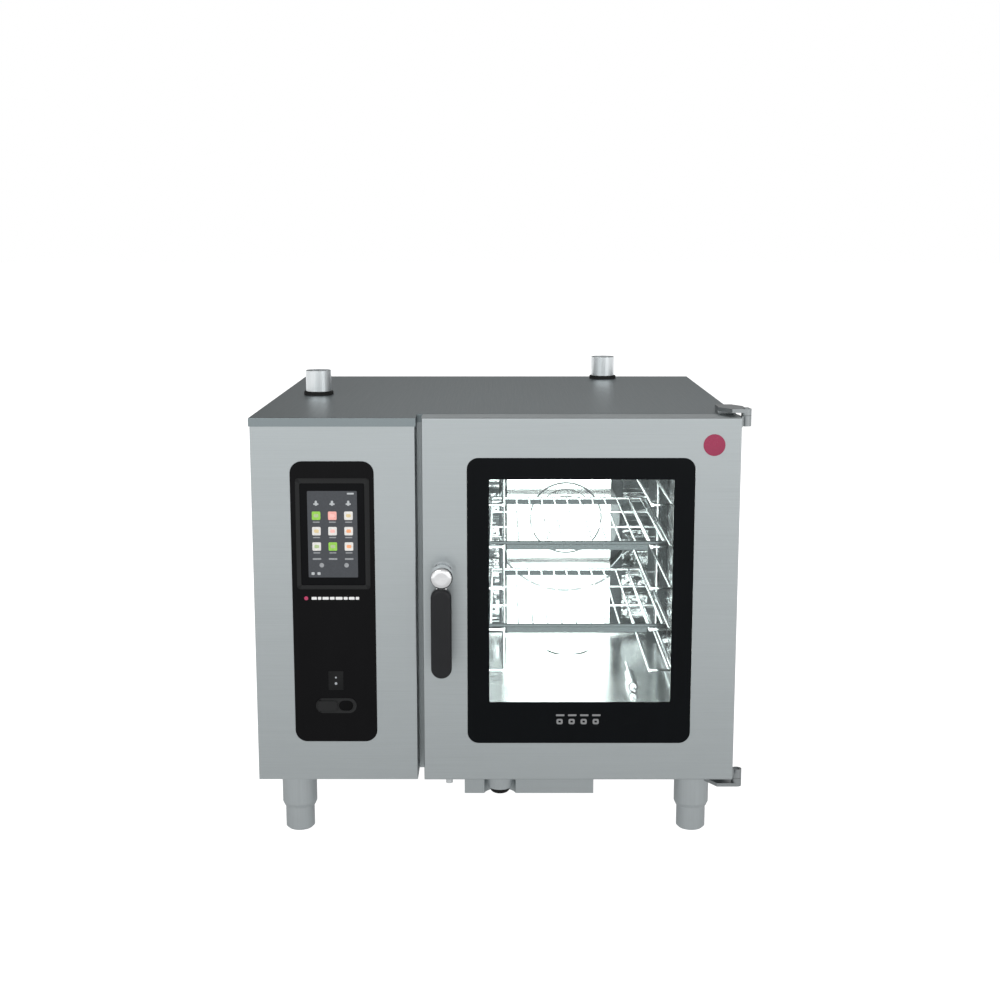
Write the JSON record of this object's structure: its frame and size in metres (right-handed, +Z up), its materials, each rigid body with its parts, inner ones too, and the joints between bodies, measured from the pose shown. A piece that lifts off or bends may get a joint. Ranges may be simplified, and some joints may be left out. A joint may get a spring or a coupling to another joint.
{
  "type": "combi steamer oven",
  "caption": "Table-top combi steamer oven: hinged glass door with turning handle, touch control panel, lit cavity with racks, roof vents, hand shower and levelling feet.",
  "frame": {"origin": "on the ground under the middle of the overall outline", "axes": "+X to the right as seen from the front, +Y to the back, +Z up"},
  "size_m": [0.875, 0.854, 0.834],
  "materials": {
    "brushed_steel": "brushed stainless sheet",
    "cavity_steel": "bright stainless sheet",
    "vent_steel": "satin stainless tube",
    "foot_steel": "satin stainless tube",
    "chrome": "polished",
    "wire_steel": "polished wire",
    "black_glass": "black printed glass, glossy",
    "clear_glass": "clear toughened glass",
    "dark_plastic": "satin black plastic",
    "bezel_plastic": "satin dark grey plastic",
    "screen": "glass touch panel",
    "red_enamel": "glossy crimson",
    "rubber": "matt",
    "silicone": "satin silicone",
    "wool": "mineral wool slab",
    "board_green": "lacquered circuit board",
    "brass": "machined",
    "motor_paint": "satin paint",
    "lamp_diffuser": "milky diffuser"
  },
  "bodies": {
    "casing": {"casing_top": "brushed_steel", "left_side_panel": "brushed_steel", "right_side_panel": "brushed_steel", "back_panel": "brushed_steel", "base_pan": "brushed_steel", "control_fascia": "brushed_steel", "compartment_wall": "brushed_steel", "front_frame": "brushed_steel", "casing_screws": "chrome", "control_glass": "black_glass", "screen_bezel": "bezel_plastic", "touch_screen": "screen", "switch_plate": "dark_plastic", "usb_socket": "chrome", "status_window": "black_glass", "control_board": "board_green", "cavity_liner": "cavity_steel", "insulation": "wool", "suction_panel": "cavity_steel", "fan_motor": "motor_paint", "heating_element": "foot_steel", "steam_injector": "vent_steel", "rack_left": "wire_steel", "rack_right": "wire_steel", "wire_shelves": "wire_steel", "drain_strainer": "cavity_steel", "drain_pipe": "vent_steel", "core_probe": "wire_steel", "water_inlet_valve": "brass", "exhaust_vent_pipe": "vent_steel", "air_inlet_pipe": "vent_steel", "vent_gaskets": "rubber", "shower_box": "brushed_steel", "shower_cup": "foot_steel", "foot_sleeves": "foot_steel", "door_gasket": "silicone", "latch_strike": "vent_steel", "hinge_bracket_top": "vent_steel", "hinge_bracket_bottom": "vent_steel", "exhaust_duct": "vent_steel"},
    "door": {"door_frame": "brushed_steel", "door_inner_frame": "cavity_steel", "door_outer_glass": "clear_glass", "door_inner_glass": "clear_glass", "light_strips": "lamp_diffuser", "door_drip_tray": "vent_steel", "door_knuckles": "vent_steel", "door_badge": "red_enamel"},
    "handle": {"handle_hub": "chrome", "handle_grip": "dark_plastic", "latch_cam": "vent_steel"},
    "button": {"power_button": "rubber"},
    "cover": {"usb_cover": "dark_plastic"},
    "fan": {"fan_wheel": "cavity_steel", "fan_shaft": "foot_steel"},
    "shower": {"shower_head": "rubber"},
    "foot_fl": {"foot_front_left": "foot_steel"},
    "foot_fr": {"foot_front_right": "foot_steel"},
    "foot_rl": {"foot_rear_left": "foot_steel"},
    "foot_rr": {"foot_rear_right": "foot_steel"}
  },
  "joints": [
    {"name": "door_swing", "type": "hinge", "parent": "casing", "child": "door", "pos_m": [0.4285, -0.332, 0.45], "axis": [0, 0, 1], "range_deg": [0, 180]},
    {"name": "handle_turn", "type": "hinge", "parent": "door", "child": "handle", "pos_m": [-0.103, -0.395, 0.515], "axis": [0, 1, 0], "range_deg": [0, 90]},
    {"name": "power_button_press", "type": "slide", "parent": "casing", "child": "button", "axis": [0, 1, 0], "range_m": [0, 0.002], "stiffness_N_per_m": 400},
    {"name": "usb_cover_swing", "type": "hinge", "parent": "casing", "child": "cover", "pos_m": [-0.325, -0.3671, 0.27], "axis": [0, 0, -1], "range_deg": [0, 110]},
    {"name": "fan_spin", "type": "hinge", "parent": "casing", "child": "fan", "pos_m": [0.141, 0.3, 0.492], "axis": [0, 1, 0], "continuous": true},
    {"name": "shower_pull", "type": "slide", "parent": "casing", "child": "shower", "axis": [0, 0, -1], "range_m": [0, 0.06]},
    {"name": "foot_front_left_screw", "type": "slide", "parent": "casing", "child": "foot_fl", "axis": [0, 0, -1], "range_m": [0, 0.025]},
    {"name": "foot_front_right_screw", "type": "slide", "parent": "casing", "child": "foot_fr", "axis": [0, 0, -1], "range_m": [0, 0.025]},
    {"name": "foot_rear_left_screw", "type": "slide", "parent": "casing", "child": "foot_rl", "axis": [0, 0, -1], "range_m": [0, 0.025]},
    {"name": "foot_rear_right_screw", "type": "slide", "parent": "casing", "child": "foot_rr", "axis": [0, 0, -1], "range_m": [0, 0.025]}
  ]
}
